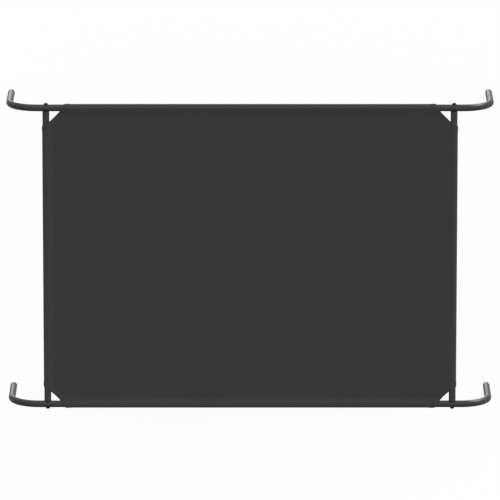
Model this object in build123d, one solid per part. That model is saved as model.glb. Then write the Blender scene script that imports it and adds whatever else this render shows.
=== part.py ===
from build123d import *
from math import acos, atan2, cos, degrees, hypot, radians, sin
import os

# Elevated dog bed. Two side rails of round tube bend down into legs at their ends, two cross tubes
# are bolted between the rails, and a taut fabric panel hangs from sleeves round the four tubes.
# Millimetres, Z up. X runs along the bed, Y across it, and the origin is on the floor under its middle.

# Frame
RAIL_SPACING = 747.0        # between the side rails' centre lines
CROSS_SPACING = 1000.0      # between the cross tubes' centre lines
FRAME_HEIGHT = 200.0        # from the floor to the top of the tubes
RAIL_OVERHANG = 21.0        # straight rail from a cross tube's centre line to the start of the bend
BEND_RADIUS = 70.0          # of the centre line, where a rail turns down into a leg
TUBE_OD = 17.0
TUBE_WALL = 1.2
PLUG_CLEARANCE = 0.1        # round anything that plugs into a tube

# Joint in the middle of each side rail: the left half's reduced end plugs into the right half
SPIGOT_LENGTH = 60.0
SHOULDER_LENGTH = 4.0       # the stretch of tube where the wall closes in to the spigot

# Ends of the cross tubes, hollowed to sit against the round of the rail
SADDLE_CLEARANCE = 0.1
SADDLE_LIP = 0.5            # how far the end reaches past the side of the rail

# Corner bolts and the threaded inserts that they screw into
BOLT_DIAMETER = 6.0
BOLT_LENGTH = 45.0          # under the head
BOLT_HOLE_CLEARANCE = 0.25  # in the rail, all round
THREAD_CLEARANCE = 0.05     # in the insert, all round
HEAD_DIAMETER = 10.5
HEAD_HEIGHT = 4.2
HEAD_EDGE = 1.2             # straight edge under the dome
SOCKET_FLATS = 4.0          # hexagon socket, across flats
SOCKET_DEPTH = 2.2
INSERT_LENGTH = 30.0
INSERT_RECESS = 4.0         # from the side of the rail to the insert's face

# Plugs in the lower ends of the legs
FOOT_THICKNESS = 4.0        # of the flange under the tube's end
FOOT_EDGE_RADIUS = 1.5
FOOT_PLUG_LENGTH = 20.0

# Fabric
FABRIC_THICKNESS = 0.8
FABRIC_CLEARANCE = 0.3      # between the tubes and the fabric
CORNER_CUT = 40.0           # taken off the panel along each tube's centre line, from where they cross
SEAM_INSET = 17.0           # from a tube's centre line to the seam that closes its sleeve
SEAM_TAB = 12.0             # width of the sleeve's edge that is sewn flat under the panel
BINDING_WIDTH = 10.0        # strip sewn along each cut corner edge

# Places and radii that follow from the sizes above
TUBE_R = TUBE_OD / 2
BORE_R = TUBE_R - TUBE_WALL
PLUG_R = BORE_R - PLUG_CLEARANCE
AXIS_Z = FRAME_HEIGHT - TUBE_R
RAIL_Y = RAIL_SPACING / 2
CROSS_X = CROSS_SPACING / 2
LEG_X = CROSS_X + RAIL_OVERHANG + BEND_RADIUS
SLEEVE_INNER_R = TUBE_R + FABRIC_CLEARANCE
SLEEVE_OUTER_R = SLEEVE_INNER_R + FABRIC_THICKNESS
SLEEVE_REACH = SEAM_INSET + SEAM_TAB
PANEL_BOTTOM = AXIS_Z + SLEEVE_INNER_R
PANEL_TOP = AXIS_Z + SLEEVE_OUTER_R

X_SIDES = {"left": -1, "right": 1}
Y_SIDES = {"front": -1, "back": 1}


def rod(start, direction, radius, length):
    """Round bar from a point along a direction."""
    plane = Plane(origin=start, z_dir=direction)
    return extrude(plane * Circle(radius), amount=length)


def prism(points, bottom, top):
    """Upright solid on a plan outline."""
    outline = Polygon(*points, align=None)
    return extrude(Plane.XY.offset(bottom) * outline, amount=top - bottom, dir=(0, 0, 1))


def half_rail(side_x, side_y):
    """Half a side rail with its bend and leg, and the hole for its corner bolt."""
    y = side_y * RAIL_Y
    path = FilletPolyline(
        (0, y, AXIS_Z),
        (side_x * LEG_X, y, AXIS_Z),
        (side_x * LEG_X, y, FOOT_THICKNESS),
        radius=BEND_RADIUS,
    )
    section = Plane(origin=path @ 0, z_dir=path % 0) * (Circle(TUBE_R) - Circle(BORE_R))
    tube = sweep(section, path=path)
    if side_x < 0:
        shoulder_start = (-SHOULDER_LENGTH, y, AXIS_Z)
        tube += rod(shoulder_start, (1, 0, 0), TUBE_R, SHOULDER_LENGTH)
        tube += rod((0, y, AXIS_Z), (1, 0, 0), PLUG_R, SPIGOT_LENGTH)
        tube -= rod(shoulder_start, (1, 0, 0), PLUG_R - TUBE_WALL, SHOULDER_LENGTH + SPIGOT_LENGTH)
    hole_start = (side_x * CROSS_X, y - TUBE_OD, AXIS_Z)
    return tube - rod(hole_start, (0, 1, 0), BOLT_DIAMETER / 2 + BOLT_HOLE_CLEARANCE, 2 * TUBE_OD)


def cross_tube(side_x):
    """Cross tube with both ends hollowed to the rails."""
    end_y = RAIL_Y - TUBE_R + SADDLE_LIP
    x = side_x * CROSS_X
    start = (x, -end_y, AXIS_Z)
    tube = rod(start, (0, 1, 0), TUBE_R, 2 * end_y) - rod(start, (0, 1, 0), BORE_R, 2 * end_y)
    for side_y in Y_SIDES.values():
        saddle_start = (x - TUBE_OD, side_y * RAIL_Y, AXIS_Z)
        tube -= rod(saddle_start, (1, 0, 0), TUBE_R + SADDLE_CLEARANCE, 2 * TUBE_OD)
    return tube


def thread_insert(side_x, side_y):
    """Threaded plug inside a cross tube's end."""
    face = (side_x * CROSS_X, side_y * (RAIL_Y - TUBE_R - INSERT_RECESS), AXIS_Z)
    inward = (0, -side_y, 0)
    plug = rod(face, inward, PLUG_R, INSERT_LENGTH)
    return plug - rod(face, inward, BOLT_DIAMETER / 2 + THREAD_CLEARANCE, INSERT_LENGTH)


def corner_bolt(side_x, side_y):
    """Bolt with a domed socket head against the outside of the rail."""
    seat = (side_x * CROSS_X, side_y * (RAIL_Y + TUBE_R), AXIS_Z)
    outward = (0, side_y, 0)
    head_r = HEAD_DIAMETER / 2
    centre = (HEAD_HEIGHT**2 - head_r**2 - HEAD_EDGE**2) / (2 * (HEAD_HEIGHT - HEAD_EDGE))
    head_plane = Plane(origin=seat, z_dir=outward)
    dome = head_plane.offset(centre) * Sphere(HEAD_HEIGHT - centre)
    head = rod(seat, outward, head_r, HEAD_HEIGHT) & dome
    hexagon = RegularPolygon(SOCKET_FLATS / 2, side_count=6, major_radius=False)
    head -= extrude(head_plane.offset(HEAD_HEIGHT - SOCKET_DEPTH) * hexagon, amount=SOCKET_DEPTH)
    return head + rod(seat, (0, -side_y, 0), BOLT_DIAMETER / 2, BOLT_LENGTH)


def foot_plug(side_x, side_y):
    """Plug in the end of a leg, with a flange as wide as the tube."""
    place = (side_x * LEG_X, side_y * RAIL_Y, 0)
    flange = rod(place, (0, 0, 1), TUBE_R, FOOT_THICKNESS)
    flange = fillet(flange.edges().group_by(Axis.Z)[0], FOOT_EDGE_RADIUS)
    return flange + rod(place, (0, 0, 1), PLUG_R, FOOT_THICKNESS + FOOT_PLUG_LENGTH)


def bed_panel():
    """Flat sheet level with the tops of the tubes, with its corners cut off."""
    cut_x = CROSS_X - CORNER_CUT
    cut_y = RAIL_Y - CORNER_CUT
    outline = [
        (cut_x, RAIL_Y),
        (-cut_x, RAIL_Y),
        (-CROSS_X, cut_y),
        (-CROSS_X, -cut_y),
        (-cut_x, -RAIL_Y),
        (cut_x, -RAIL_Y),
        (CROSS_X, -cut_y),
        (CROSS_X, cut_y),
    ]
    return prism(outline, PANEL_BOTTOM, PANEL_TOP)


def sleeve_section():
    """Fabric from the panel's edge round the outside of a tube and back up under the panel.

    Drawn about the tube's centre, with the first axis pointing out of the bed and the second up.
    """
    middle_r = (SLEEVE_INNER_R + SLEEVE_OUTER_R) / 2
    half = FABRIC_THICKNESS / 2
    seam = Vector(-SEAM_INSET, SLEEVE_INNER_R - half)
    seam_angle = degrees(atan2(seam.Y, seam.X))
    leave_angle = seam_angle + degrees(acos(middle_r / hypot(seam.X, seam.Y)))
    outward = Vector(cos(radians(leave_angle)), sin(radians(leave_angle)))
    turn = 360 + 90 - leave_angle
    outer = CenterArc((0, 0), SLEEVE_OUTER_R, leave_angle, turn)
    inner = CenterArc((0, 0), SLEEVE_INNER_R, leave_angle, turn)
    round_part = make_face([outer, inner, Line(outer @ 0, inner @ 0), Line(outer @ 1, inner @ 1)])
    flap = Polygon(inner @ 0, outer @ 0, seam + outward * half, seam - outward * half, align=None)
    tab = Polygon(
        (half - SEAM_INSET, SLEEVE_INNER_R),
        (half - SEAM_INSET, SLEEVE_INNER_R - FABRIC_THICKNESS),
        (-SLEEVE_REACH, SLEEVE_INNER_R - FABRIC_THICKNESS),
        (-SLEEVE_REACH, SLEEVE_INNER_R),
        align=None,
    )
    return round_part + flap + tab


def sleeve(out_x, out_y):
    """Sleeve on the side of the bed that the direction points to, ended by the corner cuts.

    Under the panel each sleeve stops at the diagonal from the corner, where it meets the next one.
    """
    centre = Vector(out_x * CROSS_X, out_y * RAIL_Y)
    along = Vector(out_y, out_x)
    half_length = abs(along.X) * CROSS_X + abs(along.Y) * RAIL_Y
    outward = Vector(out_x, out_y)
    plane = Plane(
        origin=(centre.X, centre.Y, AXIS_Z),
        x_dir=(out_x, out_y, 0),
        z_dir=(out_y, -out_x, 0),
    )
    band = extrude(plane * sleeve_section(), amount=half_length, both=True)
    # depth in from the tube's centre line, seen from above, and the half length that is left at that depth
    cut_depth = CORNER_CUT / 2
    corners = [
        (-TUBE_OD, half_length - CORNER_CUT - TUBE_OD),
        (cut_depth, half_length - cut_depth),
        (SLEEVE_REACH + TUBE_OD, half_length - SLEEVE_REACH - TUBE_OD),
    ]
    outline = [centre - outward * depth + along * run for depth, run in corners]
    outline += [centre - outward * depth - along * run for depth, run in reversed(corners)]
    return band & prism([(p.X, p.Y) for p in outline], 0, FRAME_HEIGHT + TUBE_OD)


def corner_binding(side_x, side_y):
    """Strip sewn on the panel along a cut corner edge."""
    cut_x = CROSS_X - CORNER_CUT
    cut_y = RAIL_Y - CORNER_CUT
    inset = BINDING_WIDTH * 2**0.5
    outline = [
        (side_x * cut_x, side_y * RAIL_Y),
        (side_x * CROSS_X, side_y * cut_y),
        (side_x * CROSS_X, side_y * (cut_y - inset)),
        (side_x * (cut_x - inset), side_y * RAIL_Y),
    ]
    return prism(outline, PANEL_TOP, PANEL_TOP + FABRIC_THICKNESS)


nodes = {"bed_panel": bed_panel()}
for x_name, x_sign in X_SIDES.items():
    nodes[f"cross_tube_{x_name}"] = cross_tube(x_sign)
    nodes[f"sleeve_{x_name}"] = sleeve(x_sign, 0)
for y_name, y_sign in Y_SIDES.items():
    nodes[f"sleeve_{y_name}"] = sleeve(0, y_sign)
    for x_name, x_sign in X_SIDES.items():
        corner = f"{y_name}_{x_name}"
        nodes[f"rail_{corner}"] = half_rail(x_sign, y_sign)
        nodes[f"thread_insert_{corner}"] = thread_insert(x_sign, y_sign)
        nodes[f"corner_bolt_{corner}"] = corner_bolt(x_sign, y_sign)
        nodes[f"foot_plug_{corner}"] = foot_plug(x_sign, y_sign)
        nodes[f"corner_binding_{corner}"] = corner_binding(x_sign, y_sign)

os.makedirs("parts", exist_ok=True)
for name, solid in nodes.items():
    export_step(solid, f"parts/{name}.step")
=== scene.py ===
import math

import bpy
import numpy as np
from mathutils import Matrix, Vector


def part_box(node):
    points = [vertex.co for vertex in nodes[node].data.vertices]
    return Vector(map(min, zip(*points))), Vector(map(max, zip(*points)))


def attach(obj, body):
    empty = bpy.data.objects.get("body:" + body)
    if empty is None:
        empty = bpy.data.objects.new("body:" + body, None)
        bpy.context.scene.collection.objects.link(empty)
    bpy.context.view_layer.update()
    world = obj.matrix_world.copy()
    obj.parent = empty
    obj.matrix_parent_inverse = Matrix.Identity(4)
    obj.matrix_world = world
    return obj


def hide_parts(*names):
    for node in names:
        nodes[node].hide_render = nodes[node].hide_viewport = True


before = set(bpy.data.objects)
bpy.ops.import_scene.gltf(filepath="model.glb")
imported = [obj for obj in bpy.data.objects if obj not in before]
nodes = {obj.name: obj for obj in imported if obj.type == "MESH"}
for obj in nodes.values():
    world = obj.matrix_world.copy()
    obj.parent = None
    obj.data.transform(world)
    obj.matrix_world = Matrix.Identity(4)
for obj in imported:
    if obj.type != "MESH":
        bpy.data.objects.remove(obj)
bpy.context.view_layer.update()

# Elevated dog bed. The frame keeps its solids, and one cut of cloth with its hems replaces the cover's.
# Metres. X runs along the bed, Y across it from front to back, Z up from the floor.
scene = bpy.context.scene
scene.view_settings.view_transform = "Standard"

CORNERS = [f"{y}_{x}" for y in ("front", "back") for x in ("left", "right")]
SIDES = ("front", "back", "left", "right")


def to_micron(length):
    """Length read from a box, without the last digits, which single precision gets wrong."""
    return round(length, 6)


# Sizes read from the solids
panel_low, panel_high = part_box("bed_panel")
tube_low, tube_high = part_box("cross_tube_right")
sleeve_low, sleeve_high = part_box("sleeve_back")
CROSS_X = to_micron(panel_high.x)                       # cross tubes' centre lines
RAIL_Y = to_micron(panel_high.y)                        # side rails' centre lines
AXIS_Z = to_micron((tube_low.z + tube_high.z) / 2)      # height of all four centre lines
CLOTH = to_micron(panel_high.z - panel_low.z)           # thickness
WRAP_R = to_micron((panel_low.z + panel_high.z) / 2 - AXIS_Z)   # of the cloth's middle surface round a tube
CORNER_CUT = to_micron(2 * (CROSS_X - sleeve_high.x))   # a sleeve ends half way along it

# Cover: cloth stretched over the four tubes and sewn back under itself
LAYER_GAP = 0.00005                             # between two layers that lie on each other
LAYER = CLOTH + LAYER_GAP                       # from one layer's middle to the next one's
TAB = 0.012                                     # sleeve's edge, sewn flat under the panel
SEAM_IN = to_micron(RAIL_Y - sleeve_low.y - TAB)        # from a tube's centre line to its sleeve's seam
FOLD = 0.0025                                   # cloth on each side of the seam that is bent by it
DROP = 0.0028                                   # panel's level inside the seams, below its edges
DROP_SPAN, DROP_STEPS = 0.03, 600               # in from a tube's centre line, past the end of the drop
DROP_STEEP = (0.0, 0.003)                       # where the drop begins and is at its steepest
DROP_LEVEL = (0.0145, 0.0205)                   # where it eases off and has ended
SAG = 0.0015                                    # further down in the middle of the panel
SCALLOP = 0.0018                                # how far the cloth's pull hollows a corner cut
SCALLOP_FADE = 0.016                            # how far in from a corner cut that pull fades out
END_SLOPE = 0.36                                # how far a sleeve's ends draw back per length round it

# Slow waves of the panel: rates along X and Y in radians per metre, phase and height
WAVES = ((9.0, 31.0, 0.4, 5e-5), (41.0, -7.0, 1.9, 4e-5), (23.0, 19.0, 3.3, 4e-5), (-17.0, 37.0, 5.1, 3e-5))
WAVE_EDGE = (0.015, 0.12)                       # distances in from the tubes: they begin, they are full

# Puckers along the seams
PUCKER = 5e-5                                   # height
PUCKER_IN, PUCKER_SPREAD = 0.024, 0.009         # middle of their row, in from the tube, and its spread
PUCKER_ENDS = (0.03, 0.08)                      # distances from the other tubes: they begin, they are full
PUCKER_RATE = 190                               # radians per metre
PUCKER_DRIFT, PUCKER_DRIFT_RATE = 1.7, 43       # how far, and how fast, their spacing varies

# Cells of the cover's mesh
CORNER_STEPS = 20                               # along a corner cut
GRID = 0.006                                    # size of the other cells of the panel
TURN_STEPS, FLAP_STEPS, FOLD_STEPS, TAB_STEPS = 25, 5, 4, 4     # across a sleeve
FOLD_ROW = -(FOLD_STEPS + TAB_STEPS + 1)        # row of a sleeve's section where its fold begins

# Section of a hem: distance in from the cut edge, and lift off the cloth's middle, in millimetres
HEM = np.array([
    (-0.3, 0.2), (-0.2, 0.65), (0.4, 0.95), (2.0, 1.05), (6.0, 1.05), (8.4, 0.98), (9.4, 0.8), (10.4, 0.92),
    (11.4, 0.9), (12.1, 0.68), (12.4, 0.25), (12.3, -0.35), (11.0, -0.5), (6.0, -0.52), (0.6, -0.52),
    (-0.1, -0.35),
]) / 1000
HEM_STEP = 0.002                                # between its points round a tube, and short of the fold
HEM_CUT_POINTS = 30                             # along a corner cut
HEM_ROUNDS = 3                                  # times that the bends of its line are smoothed

# Stitches. At five places on each: the way along in half lengths, the lift, the share of the thread's radius
STITCH = np.array([
    (-1, -0.0002, 0.5), (-0.6, 0.0001, 0.95), (0, 0.0002, 1), (0.6, 0.0001, 0.95), (1, -0.0002, 0.5),
])
STITCH_HALF = 0.0016                            # half its length
STITCH_PITCH = 0.0046                           # from one to the next
STITCH_MARGIN = 0.003                           # from the end of a row
THREAD_R = 0.0003
THREAD_SIDES = 6
SEAM_ROWS = (0.0205, 0.0268)                    # rows along a seam, in from the tube's centre line
HEM_ROW = 0.0094                                # row along a hem, in from the cut edge
HEM_ROW_LIFT = 0.0008                           # off the cloth's middle

# Look of the cloth
FLAT_SPAN = 1.2                                 # metres of flat cloth across the whole texture map
YARN = 0.0009                                   # from one yarn to the next
YARN_NUMBERS = (0.5, 7000.5)                    # first of each direction's yarns, so that their tones differ
TONE_SHARE, CROWN_SHADE_SHARE, CLOUD_SHARE = 0.24, 0.42, 0.1         # of yarn, crown and blotch in the colour; the crowns' share is painted shade, darker between the yarns
SLEEVE_PAINTED_LIGHT = 0.1                                      # painted light: how far the cloth over the tubes nears its light colour
SLEEVE_PAINTED_LIGHT_EDGE = (-0.002, 0.003)                     # where that begins and is full, out from the seam

# Light
DOME = 0.28             # share of the light on a level surface that comes from all round
LAMPS = {               # direction to each lamp, as long as it is strong, and how wide it looks in degrees
    "key": (Vector((0.675, 0.675, 0.1875)), 34),
    "fill": (Vector((-0.075, 0.425, 0.8125)), 90),
}
FLOOR_HALF = 60.0       # from its middle to each side
FLOOR_GREY = 0.95
WHITE_SHARE = 0.96      # of the floor's look that no shadow reaches
ROOM_BACK = Vector((0, 0.87, 0.5))              # the pale side of the room, as a gloss shows it
ROOM_LEVELS = (0.12, 1.2)                       # of its front and back
# What else a gloss shows, in degrees: azimuth from the back towards the right, elevation, level, and how far
# from its middle it begins and is at its full level
CARDS = (
    (103, 6, 1.1, 55, 15),      # window on the right
    (38, 0, 8.0, 17, 8),        # strip of lamps, from the back right down to the floor under the bed
    (27, -18, 8.0, 17, 8),
    (18, -40, 4.8, 16, 7),
    (0, -60, 2.6, 13, 5),
    (-23, -77.4, 1.7, 13, 5),
)

# Camera
TILT = math.radians(12.75)      # from straight down, towards the back
AIM = Vector((0, 0.0166, AXIS_Z))      # what the middle of the picture shows
DISTANCE = 16.0
LENS, SENSOR = 468.1, 36        # focal length and width, in millimetres
FAR_CLIP = 200


# Shape of the cover

def ease(low, high, value):
    """Smooth step from 0 at low to 1 at high."""
    t = np.clip((value - low) / (high - low), 0, 1)
    return t * t * (3 - 2 * t)


def drop_table():
    """Distances inward from a tube's centre line, and the share of the drop reached there."""
    inward = np.linspace(0, DROP_SPAN, DROP_STEPS + 1)
    slope = ease(*DROP_STEEP, inward) * (1 - ease(*DROP_LEVEL, inward))
    total = np.cumsum(slope)
    return inward, total / total[-1]


DROP_TABLE = drop_table()


def drop_share(inward):
    """Share of the drop at a distance inward from a tube's centre line."""
    return np.interp(inward, *DROP_TABLE)


def ripple(x, y):
    """Small hollows of the stretched cloth: sag, slow waves, and puckers along the seams."""
    in_x = CROSS_X - np.abs(x)
    in_y = RAIL_Y - np.abs(y)
    sag = np.cos(np.clip(x / (CROSS_X - SEAM_IN), -1, 1) * math.pi / 2)
    sag = sag * np.cos(np.clip(y / (RAIL_Y - SEAM_IN), -1, 1) * math.pi / 2)
    height = -SAG * sag
    inside = ease(*WAVE_EDGE, in_x) * ease(*WAVE_EDGE, in_y)
    for along_x, along_y, phase, size in WAVES:
        height = height + size * inside * np.sin(along_x * x + along_y * y + phase)
    for along, inward, other in ((x, in_y, in_x), (y, in_x, in_y)):
        near = np.exp(-(((inward - PUCKER_IN) / PUCKER_SPREAD) ** 2)) * ease(*PUCKER_ENDS, other)
        drift = PUCKER_DRIFT * np.sin(along * PUCKER_DRIFT_RATE)
        height = height + PUCKER * near * np.sin(along * PUCKER_RATE + drift)
    return height


def panel(x, y):
    """Height of the panel's middle surface over the tubes' centre lines."""
    share = drop_share(CROSS_X - np.abs(x)) * drop_share(RAIL_Y - np.abs(y))
    return WRAP_R - DROP * share + ripple(x, y)


def sleeve_table():
    """A sleeve's section from the top of its tube to the end of its tab.

    Rows of: unrolled distance, place outward, place up, and how far it follows the panel's ripples.
    """
    def under(inward):
        return np.array([-inward, WRAP_R - DROP * drop_share(inward) - LAYER])

    seam = under(SEAM_IN)
    reach = math.hypot(*seam)
    leave = math.pi / 2 - math.atan2(seam[1], seam[0]) - math.acos(WRAP_R / reach)
    turn = np.linspace(0, leave % (2 * math.pi), TURN_STEPS + 1)
    points = [WRAP_R * np.array([math.sin(t), math.cos(t)]) for t in turn]
    follow = [0.0] * len(points)
    last = points[-1]
    before = seam + (last - seam) * FOLD / np.linalg.norm(last - seam)
    after = under(SEAM_IN + FOLD)
    for t in np.linspace(0, 1, FLAP_STEPS + 1)[1:]:
        points.append(last + (before - last) * t)
        follow.append(t)
    for t in np.linspace(0, 1, FOLD_STEPS + 1)[1:]:
        points.append((1 - t) ** 2 * before + 2 * t * (1 - t) * seam + t * t * after)
        follow.append(1.0)
    for t in np.linspace(0, 1, TAB_STEPS + 1)[1:]:
        points.append(under(SEAM_IN + FOLD + (TAB - FOLD) * t))
        follow.append(1.0)
    points = np.array(points)
    return np.column_stack([run_along(points), points, follow])


def run_along(points):
    """Distance along a line of points, at each of them."""
    return np.concatenate([[0], np.cumsum(np.linalg.norm(np.diff(points, axis=0), axis=1))])


SLEEVE = sleeve_table()


def cover(flat_x, flat_y):
    """Places of points that are given on the cover laid flat."""
    x, y = np.array(flat_x, float), np.array(flat_y, float)
    z = panel(x, y)
    for own, far, edge in ((x, flat_x, CROSS_X), (y, flat_y, RAIL_Y)):
        beyond = np.abs(far) - edge
        on = beyond > 0
        out, up, follow = (np.interp(beyond, SLEEVE[:, 0], SLEEVE[:, k]) for k in (1, 2, 3))
        own[on] = (np.sign(far) * (edge + out))[on]
        z[on] = (up + follow * ripple(x, y))[on]
    return np.stack([x, y, AXIS_Z + z], axis=-1)


def lifted(flat_x, flat_y, lift):
    """Points off the cover's middle surface, and the way the surface faces there."""
    step = 2e-4
    across = cover(flat_x + step, flat_y) - cover(flat_x - step, flat_y)
    along = cover(flat_x, flat_y + step) - cover(flat_x, flat_y - step)
    normal = np.cross(across, along)
    normal /= np.linalg.norm(normal, axis=-1, keepdims=True)
    return cover(flat_x, flat_y) + normal * np.asarray(lift)[..., None], normal


def new_object(name, points, faces, flat=None):
    """Smooth mesh object on the bed, with the flat cover's coordinates as its texture map."""
    mesh = bpy.data.meshes.new(name)
    mesh.from_pydata([tuple(p) for p in points], [], [tuple(f) for f in faces])
    mesh.shade_smooth()
    if flat is not None:
        layer = mesh.uv_layers.new(name="flat")
        corner = np.zeros(len(mesh.loops), int)
        mesh.loops.foreach_get("vertex_index", corner)
        uv = 0.5 + np.asarray(flat)[corner] / FLAT_SPAN
        layer.data.foreach_set("uv", uv.astype(np.float32).ravel())
    made = bpy.data.objects.new(name, mesh)
    scene.collection.objects.link(made)
    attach(made, "root")
    return made


def scalloped(x, y):
    """Points of the flat panel, drawn in along the corner cuts."""
    out_x = np.abs(x) - (CROSS_X - CORNER_CUT)
    out_y = np.abs(y) - (RAIL_Y - CORNER_CUT)
    across = np.clip((out_x - out_y) / CORNER_CUT, -1, 1)
    depth = (CORNER_CUT - out_x - out_y) / math.sqrt(2)
    pull = SCALLOP / math.sqrt(2) * (1 - across**2) * (1 - ease(0, SCALLOP_FADE, depth))
    return np.column_stack([x - np.sign(x) * pull, y - np.sign(y) * pull])


def grid_lines(inner, outer):
    """Grid lines across the panel, closer together beyond inner."""
    core = np.linspace(-inner, inner, 2 * math.ceil(inner / GRID) + 1)
    edge = np.linspace(inner, outer, CORNER_STEPS + 1)[1:]
    return np.concatenate([-edge[::-1], core, edge])


def steps_out(lines):
    """How many cells each grid line lies beyond the inner part of the panel."""
    k = np.arange(len(lines))
    return np.maximum(0, np.maximum(CORNER_STEPS - k, k - (len(lines) - 1 - CORNER_STEPS)))


def grid_faces(table):
    """Faces between the points of a grid, in which -1 stands for a point that was cut off."""
    faces = []
    for i in range(table.shape[0] - 1):
        for j in range(table.shape[1] - 1):
            ring = (table[i, j], table[i + 1, j], table[i + 1, j + 1], table[i, j + 1])
            face = [v for v in ring if v >= 0]
            if len(face) > 2:
                faces.append(face)
    return faces


def flat_cover():
    """Points and faces of the cover laid flat, all facing up, and its area."""
    inner_x, inner_y = CROSS_X - CORNER_CUT, RAIL_Y - CORNER_CUT
    xs, ys = grid_lines(inner_x, CROSS_X), grid_lines(inner_y, RAIL_Y)
    kept = steps_out(xs)[:, None] + steps_out(ys)[None, :] <= CORNER_STEPS
    index = np.full(kept.shape, -1)
    index[kept] = np.arange(kept.sum())
    i, j = np.nonzero(kept)
    flat = scalloped(xs[i], ys[j]).tolist()
    faces = grid_faces(index)
    for axis, lines, inner, edge in ((0, xs, inner_x, RAIL_Y), (1, ys, inner_y, CROSS_X)):
        for side, end in ((-1, 0), (1, -1)):
            row = np.take(index, end, axis=1 - axis)
            places = lines[row >= 0]
            table = [row[row >= 0]]
            for run in SLEEVE[1:, 0]:
                table.append(np.arange(len(flat), len(flat) + len(places)))
                strip = np.empty((len(places), 2))
                strip[:, axis] = places * (1 - END_SLOPE * run / inner)
                strip[:, 1 - axis] = side * (edge + run)
                flat += strip.tolist()
            faces += grid_faces(np.array(table))
    flat = np.array(flat)
    area = 0.0
    for k, face in enumerate(faces):
        x, y = flat[face].T
        signed = (x @ np.roll(y, -1) - y @ np.roll(x, -1)) / 2
        area += abs(signed)
        if signed < 0:
            faces[k] = face[::-1]
    return flat, faces, area


def make_cover():
    """The cut of cloth on its frame, and its flat area."""
    flat, faces, area = flat_cover()
    made = new_object("fabric_cover", cover(*flat.T), faces, flat)
    shell = made.modifiers.new("cloth", "SOLIDIFY")
    shell.thickness = CLOTH
    shell.offset = 0
    return made, area


def edge_path(sign_x, sign_y):
    """Cut edge at one corner, on the flat cover: round the rail, across the panel, round the cross tube.

    Also the way that it runs and the way in from it, at each of its points.
    """
    inner_x, inner_y = CROSS_X - CORNER_CUT, RAIL_Y - CORNER_CUT
    steps = np.arange(0, SLEEVE[FOLD_ROW, 0] - HEM_STEP, HEM_STEP)
    diagonal = np.linspace(0, CORNER_CUT, HEM_CUT_POINTS)[1:-1]
    path = np.concatenate([
        np.column_stack([inner_x - END_SLOPE * steps, RAIL_Y + steps])[::-1],
        scalloped(inner_x + diagonal, RAIL_Y - diagonal),
        np.column_stack([CROSS_X + steps, inner_y - END_SLOPE * steps]),
    ])
    for _ in range(HEM_ROUNDS):
        path[1:-1] = (path[:-2] + 2 * path[1:-1] + path[2:]) / 4
    way = np.gradient(path, axis=0)
    way /= np.linalg.norm(way, axis=1, keepdims=True)
    inward = np.column_stack([way[:, 1], -way[:, 0]])
    inward *= np.sign(-inward[len(path) // 2].sum())
    flip = np.array([sign_x, sign_y])
    return path * flip, way * flip, inward * flip


def make_hem(corner, sign_x, sign_y):
    """Doubled edge along one corner cut and round both sleeve ends."""
    path, _, inward = edge_path(sign_x, sign_y)
    flat = path[:, None] + inward[:, None] * HEM[None, :, :1]
    lift = np.broadcast_to(HEM[:, 1], flat.shape[:2])
    points, _ = lifted(flat[..., 0], flat[..., 1], lift)
    count, ring = flat.shape[:2]
    index = np.arange(count * ring).reshape(count, ring)
    turned = np.roll(index, -1, axis=1)
    faces = np.stack([index[:-1], turned[:-1], turned[1:], index[1:]], axis=-1).reshape(-1, 4).tolist()
    faces += [index[0, ::-1].tolist(), index[-1].tolist()]
    if sign_x * sign_y < 0:
        faces = [f[::-1] for f in faces]
    return new_object(f"corner_hem_{corner}", points.reshape(-1, 3), faces, flat.reshape(-1, 2))


def stitches(flat, way, base):
    """Points and faces of a row of stitches, from the middle and direction of each on the flat cover."""
    along, lift, share = STITCH.T
    turn = np.arange(THREAD_SIDES) * 2 * math.pi / THREAD_SIDES
    spot = flat[:, None] + way[:, None] * (along * STITCH_HALF)[None, :, None]
    centre, up = lifted(spot[..., 0], spot[..., 1], np.broadcast_to(base + lift, spot.shape[:2]))
    head = centre[:, -1:] - centre[:, :1]
    head = head / np.linalg.norm(head, axis=-1, keepdims=True)
    side = np.cross(head, up)
    ring = side[:, :, None] * np.cos(turn)[:, None] + up[:, :, None] * np.sin(turn)[:, None]
    points = centre[:, :, None] + ring * (THREAD_R * share)[None, :, None, None]
    index = np.arange(points.size // 3).reshape(points.shape[:3])
    turned = np.roll(index, -1, axis=2)
    quads = np.stack([index[:, :-1], index[:, 1:], turned[:, 1:], turned[:, :-1]], axis=-1).reshape(-1, 4)
    faces = quads.tolist() + index[:, 0].tolist() + index[:, -1, ::-1].tolist()
    return points.reshape(-1, 3), faces


def join(rows):
    """Several rows of stitches as one list of points and one of faces."""
    points, faces, start = [], [], 0
    for more, rings in rows:
        points.append(more)
        faces += [[v + start for v in f] for f in rings]
        start += len(more)
    return np.concatenate(points), faces


def make_seam_stitching():
    """Two rows along each sleeve's seam, on the panel and on the tab under it."""
    rows = []
    tab = SLEEVE[FOLD_ROW:]
    for inward in SEAM_ROWS:
        run = np.interp(inward, -tab[:, 1], tab[:, 0])
        for edge, inner, axis in ((RAIL_Y, CROSS_X - CORNER_CUT, 1), (CROSS_X, RAIL_Y - CORNER_CUT, 0)):
            half = inner - END_SLOPE * run - STITCH_MARGIN
            places = np.linspace(-half, half, round(2 * half / STITCH_PITCH))
            way = np.zeros((len(places), 2))
            way[:, 1 - axis] = 1
            for side in (-1, 1):
                for place in (edge - inward, edge + run):
                    flat = np.zeros((len(places), 2))
                    flat[:, 1 - axis] = places
                    flat[:, axis] = side * place
                    rows.append(stitches(flat, way, CLOTH / 2))
    return new_object("seam_stitching", *join(rows))


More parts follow.
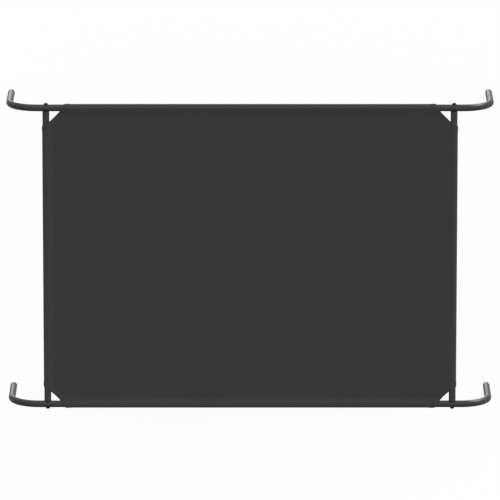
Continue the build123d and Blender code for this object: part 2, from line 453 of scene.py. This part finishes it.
def make_hem_stitching():
    """One row along the inner edge of each hem."""
    rows = []
    for sign_x in (-1, 1):
        for sign_y in (-1, 1):
            path, way, inward = edge_path(sign_x, sign_y)
            line = path + inward * HEM_ROW
            run = run_along(line)
            places = np.arange(STITCH_MARGIN, run[-1] - STITCH_MARGIN, STITCH_PITCH)
            flat = np.column_stack([np.interp(places, run, line[:, k]) for k in (0, 1)])
            head = np.column_stack([np.interp(places, run, way[:, k]) for k in (0, 1)])
            rows.append(stitches(flat, head, HEM_ROW_LIFT))
    return new_object("hem_stitching", *join(rows))


# Building blocks of the materials

def new_material(name, **values):
    """Node material with constants on the shader's own sockets."""
    made = bpy.data.materials.new(name)
    made.use_nodes = True
    shader = made.node_tree.nodes["Principled BSDF"]
    for key, value in values.items():
        shader.inputs[key.replace("_", " ")].default_value = value
    return made, made.node_tree, shader


def add(tree, kind, **settings):
    """New node with its settings."""
    made = tree.nodes.new("ShaderNode" + kind)
    for key, value in settings.items():
        setattr(made, key, value)
    return made


def put(tree, value, socket):
    """Sets a socket to a number or links it to another socket."""
    if isinstance(value, bpy.types.NodeSocket):
        tree.links.new(value, socket)
    else:
        socket.default_value = value


def calc(tree, operation, *values):
    """Result of a calculation on numbers and sockets."""
    made = add(tree, "Math", operation=operation)
    for value, socket in zip(values, made.inputs):
        put(tree, value, socket)
    return made.outputs[0]


def noise(tree, where, scale, detail=2.0, roughness=0.5):
    """Cloudy texture, about 0.5 in the mean."""
    made = add(tree, "TexNoise")
    tree.links.new(where, made.inputs["Vector"])
    made.inputs["Scale"].default_value = scale
    made.inputs["Detail"].default_value = detail
    made.inputs["Roughness"].default_value = roughness
    return made.outputs["Fac"]


def spread(tree, value, low, high, from_low=0.3, from_high=0.7):
    """Maps a texture's value onto a range."""
    made = add(tree, "MapRange")
    for socket, v in zip(made.inputs, (value, from_low, from_high, low, high)):
        put(tree, v, socket)
    return made.outputs[0]


def tint(tree, share, dark, light):
    """Colour between two, by a share."""
    made = add(tree, "Mix", data_type="RGBA")
    tree.links.new(share, made.inputs["Factor"])
    first, second = [s for s in made.inputs if s.type == "RGBA"]
    first.default_value = (*dark, 1)
    second.default_value = (*light, 1)
    return next(s for s in made.outputs if s.type == "RGBA")


def bump(tree, height, shader, strength, distance):
    """Relief of a height on a shader."""
    made = add(tree, "Bump")
    made.inputs["Strength"].default_value = strength
    made.inputs["Distance"].default_value = distance
    tree.links.new(height, made.inputs["Height"])
    tree.links.new(made.outputs["Normal"], shader.inputs["Normal"])


def weave(tree):
    """Plain weave on the flat cover: the yarns' height, each yarn's tone, and the place in metres."""
    uv = add(tree, "UVMap", uv_map="flat")
    flat = add(tree, "VectorMath", operation="SCALE")
    tree.links.new(uv.outputs[0], flat.inputs[0])
    flat.inputs["Scale"].default_value = FLAT_SPAN
    split = add(tree, "SeparateXYZ")
    tree.links.new(flat.outputs[0], split.inputs[0])
    yarns = [calc(tree, "DIVIDE", split.outputs[k], YARN) for k in (0, 1)]
    crowns = [calc(tree, "ABSOLUTE", calc(tree, "SINE", calc(tree, "MULTIPLY", y, math.pi))) for y in yarns]
    cells = [calc(tree, "FLOOR", y) for y in yarns]
    over = calc(tree, "FLOORED_MODULO", calc(tree, "ADD", *cells), 2.0)

    def pick(a, b):
        return calc(tree, "MULTIPLY_ADD", over, calc(tree, "SUBTRACT", b, a), a)

    def rising(own, other):
        return calc(tree, "MULTIPLY", own, calc(tree, "MULTIPLY_ADD", other, 0.5, 0.5))

    tones = []
    for cell, first_number in zip(cells, YARN_NUMBERS):
        made = add(tree, "TexWhiteNoise", noise_dimensions="1D")
        tree.links.new(calc(tree, "ADD", cell, first_number), made.inputs["W"])
        tones.append(made.outputs["Value"])
    return pick(rising(*crowns), rising(*crowns[::-1])), pick(*tones), flat.outputs[0]


def painted_sleeve_light(tree, flat):
    """Painted light: paler cloth where it lies over the tubes, brighter than the same cloth on the panel."""
    split = add(tree, "SeparateXYZ")
    tree.links.new(flat, split.inputs[0])
    lightened = []
    for axis, edge in ((0, CROSS_X), (1, RAIL_Y)):
        centred = calc(tree, "SUBTRACT", split.outputs[axis], FLAT_SPAN / 2)
        out = calc(tree, "SUBTRACT", calc(tree, "ABSOLUTE", centred), edge - SEAM_IN)
        lightened.append(spread(tree, out, 0.0, SLEEVE_PAINTED_LIGHT, *SLEEVE_PAINTED_LIGHT_EDGE))
    return calc(tree, "MAXIMUM", *lightened)


# Materials

def cloth_material(name, dark, light):
    """Matt woven cloth with yarns of slightly different tones, painted shade between the yarns and painted
    light over the tubes.
    """
    made, tree, shader = new_material(
        name, Roughness=0.9, Specular_IOR_Level=0.15, Sheen_Weight=0.08, Sheen_Roughness=0.5,
    )
    height, tone, flat = weave(tree)
    cloud = spread(tree, noise(tree, flat, scale=9.0, detail=4.0), 0.0, 1.0)
    # painted light: the cloth over the tubes is made paler
    share = painted_sleeve_light(tree, flat)
    # the yarns' height paints shade into the colour, darker between them
    for part, weight in ((tone, TONE_SHARE), (height, CROWN_SHADE_SHARE), (cloud, CLOUD_SHARE)):
        share = calc(tree, "MULTIPLY_ADD", part, weight, share)
    tree.links.new(tint(tree, share, dark, light), shader.inputs["Base Color"])
    bump(tree, height, shader, strength=0.35, distance=0.0002)
    return made


def coated_material(name, dark, light, gloss, rough, grain, speckle):
    """Paint or plastic with a fine grain, faint blotches and a slightly uneven gloss."""
    made, tree, shader = new_material(name, Specular_IOR_Level=gloss)
    where = add(tree, "TexCoord").outputs["Object"]
    blotch = noise(tree, where, scale=22.0, detail=5.0, roughness=0.6)
    fleck = noise(tree, where, scale=speckle, detail=1.0)
    share = calc(tree, "MULTIPLY_ADD", fleck, 0.5, calc(tree, "MULTIPLY", blotch, 0.5))
    tree.links.new(tint(tree, share, dark, light), shader.inputs["Base Color"])
    tree.links.new(spread(tree, blotch, *rough), shader.inputs["Roughness"])
    relief = noise(tree, where, scale=speckle * 0.7)        # a little coarser than the flecks
    bump(tree, relief, shader, strength=grain, distance=0.0002)
    return made


def plated_material(name):
    """Zinc plate with the marks of turning."""
    made, tree, shader = new_material(name, Metallic=1.0)
    stretch = add(tree, "VectorMath", operation="MULTIPLY")
    tree.links.new(add(tree, "TexCoord").outputs["Object"], stretch.inputs[0])
    stretch.inputs[1].default_value = (1, 20, 1)
    marks = noise(tree, stretch.outputs[0], scale=300.0, detail=3.0)
    colour = tint(tree, marks, (0.45, 0.45, 0.46), (0.64, 0.64, 0.66))
    tree.links.new(colour, shader.inputs["Base Color"])
    tree.links.new(spread(tree, marks, 0.28, 0.45), shader.inputs["Roughness"])
    bump(tree, marks, shader, strength=0.15, distance=0.0001)
    return made


def thread_material(name):
    """Twisted sewing thread, with painted shade in the grooves of its twist."""
    made, tree, shader = new_material(name, Roughness=0.75, Specular_IOR_Level=0.2, Sheen_Weight=0.1)
    twist = add(tree, "TexWave", bands_direction="DIAGONAL")
    tree.links.new(add(tree, "TexCoord").outputs["Object"], twist.inputs["Vector"])
    twist.inputs["Scale"].default_value = 500.0
    # painted shade: the twist's grooves darker in the colour, its crowns lighter
    colour = tint(tree, twist.outputs["Fac"], (0.024, 0.025, 0.025), (0.044, 0.045, 0.045))
    tree.links.new(colour, shader.inputs["Base Color"])
    bump(tree, twist.outputs["Fac"], shader, strength=0.4, distance=0.0001)
    return made


def dress(obj, material, slot):
    """Gives a piece its material; the slot is not used."""
    obj.data.materials.clear()
    obj.data.materials.append(material)


# The cover and what is sewn to it

cloth = cloth_material("woven_cloth", dark=(0.0258, 0.0259, 0.0259), light=(0.0448, 0.0451, 0.0449))
hem_cloth = cloth_material("hem_cloth", dark=(0.0249, 0.0250, 0.0250), light=(0.0433, 0.0436, 0.0434))
thread = thread_material("thread")

fabric, flat_area = make_cover()
dress(fabric, cloth, "fabric")
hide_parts("bed_panel", *[f"sleeve_{s}" for s in SIDES])

for name in CORNERS:
    hem = make_hem(name, 1 if "right" in name else -1, 1 if "back" in name else -1)
    dress(hem, hem_cloth, "binding")
    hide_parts(f"corner_binding_{name}")
for piece in (make_seam_stitching(), make_hem_stitching()):
    dress(piece, thread, "fabric")

# The frame's pieces

paint = coated_material(
    "powder_coat", dark=(0.016, 0.016, 0.0165), light=(0.029, 0.029, 0.03),
    gloss=0.32, rough=(0.2, 0.28), grain=0.12, speckle=900.0,
)
black = coated_material(
    "black_bolt", dark=(0.004, 0.004, 0.004), light=(0.009, 0.009, 0.0092),
    gloss=0.2, rough=(0.35, 0.5), grain=0.06, speckle=1500.0,
)
plastic = coated_material(
    "moulded_foot", dark=(0.014, 0.014, 0.0145), light=(0.026, 0.026, 0.027),
    gloss=0.3, rough=(0.5, 0.62), grain=0.2, speckle=1400.0,
)
zinc = plated_material("zinc_plate")

finishes = {
    "rail_": (paint, "frame"),
    "cross_tube_": (paint, "frame"),
    "corner_bolt_": (black, "bolt"),
    "foot_plug_": (plastic, "foot"),
    "thread_insert_": (zinc, "insert"),
}
for name, node in nodes.items():
    for start, finish in finishes.items():
        if name.startswith(start):
            dress(node, *finish)


# Floor, light and camera

def seen_ray(tree, gloss=1.0):
    """1 for camera and transmission rays, which meet plain white, and a level of its own for a gloss."""
    path = add(tree, "LightPath")
    shown = calc(tree, "MULTIPLY", path.outputs["Is Glossy Ray"], gloss)
    shown = calc(tree, "MAXIMUM", shown, path.outputs["Is Camera Ray"])
    return calc(tree, "MAXIMUM", shown, path.outputs["Is Transmission Ray"])


def room(tree):
    """Level of the surroundings in a gloss: paler towards the back, with a window and a strip of lamps."""
    way = add(tree, "TexCoord").outputs["Generated"]

    def towards(direction):
        made = add(tree, "VectorMath", operation="DOT_PRODUCT")
        tree.links.new(way, made.inputs[0])
        made.inputs[1].default_value = direction.normalized()
        return made.outputs["Value"]

    level = spread(tree, towards(ROOM_BACK), *ROOM_LEVELS, from_low=-1.0, from_high=1.0)
    for azimuth, elevation, bright, begins, full in CARDS:
        a, e = math.radians(azimuth), math.radians(elevation)
        middle = Vector((math.sin(a) * math.cos(e), math.cos(a) * math.cos(e), math.sin(e)))
        rim = [math.cos(math.radians(d)) for d in (begins, full)]
        level = calc(tree, "MAXIMUM", level, spread(tree, towards(middle), 0.0, bright, *rim))
    return level


def make_world():
    """White surroundings that light evenly from all round, and show a room of their own in a gloss."""
    world = bpy.data.worlds.new("studio")
    world.use_nodes = True
    tree = world.node_tree
    background = tree.nodes["Background"]
    background.inputs["Color"].default_value = (1, 1, 1, 1)
    strength = calc(tree, "MAXIMUM", seen_ray(tree, room(tree)), DOME)
    tree.links.new(strength, background.inputs["Strength"])
    scene.world = world


def make_lamps():
    """Broad lamps, far away, that no gloss shows."""
    for name, (place, width) in LAMPS.items():
        lamp = bpy.data.lights.new(name, "SUN")
        lamp.energy = (1 - DOME) * math.pi * place.length
        lamp.angle = math.radians(width)
        stand = bpy.data.objects.new(name, lamp)
        stand.rotation_euler = place.to_track_quat("Z", "Y").to_euler()
        stand.visible_glossy = False
        scene.collection.objects.link(stand)


def white_material(name):
    """Nearly plain white to the camera, with a share of matt floor that takes a shadow."""
    made = bpy.data.materials.new(name)
    made.use_nodes = True
    tree = made.node_tree
    tree.nodes.clear()
    diffuse = add(tree, "BsdfDiffuse")
    diffuse.inputs["Color"].default_value = (FLOOR_GREY, FLOOR_GREY, FLOOR_GREY, 1)
    glow = add(tree, "Emission")
    mix = add(tree, "MixShader")
    tree.links.new(calc(tree, "MULTIPLY", seen_ray(tree), WHITE_SHARE), mix.inputs[0])
    tree.links.new(diffuse.outputs[0], mix.inputs[1])
    tree.links.new(glow.outputs[0], mix.inputs[2])
    tree.links.new(mix.outputs[0], add(tree, "OutputMaterial").inputs["Surface"])
    return made


def make_floor():
    """Wide level floor."""
    mesh = bpy.data.meshes.new("floor")
    corners = [(-1, -1), (1, -1), (1, 1), (-1, 1)]
    mesh.from_pydata([(x * FLOOR_HALF, y * FLOOR_HALF, 0) for x, y in corners], [], [(0, 1, 2, 3)])
    mesh.materials.append(white_material("white_floor"))
    made = bpy.data.objects.new("floor", mesh)
    made.visible_glossy = False
    scene.collection.objects.link(made)
    return made


def make_camera():
    """Camera over the bed, a little way towards its back."""
    lens = bpy.data.cameras.new("camera")
    lens.lens = LENS
    lens.sensor_width = SENSOR
    lens.clip_end = FAR_CLIP
    made = bpy.data.objects.new("camera", lens)
    made.location = AIM + DISTANCE * Vector((0, math.sin(TILT), math.cos(TILT)))
    made.rotation_euler = (-TILT, 0, 0)
    scene.collection.objects.link(made)
    return made


make_world()
make_lamps()
floor = make_floor()
scene.camera = make_camera()
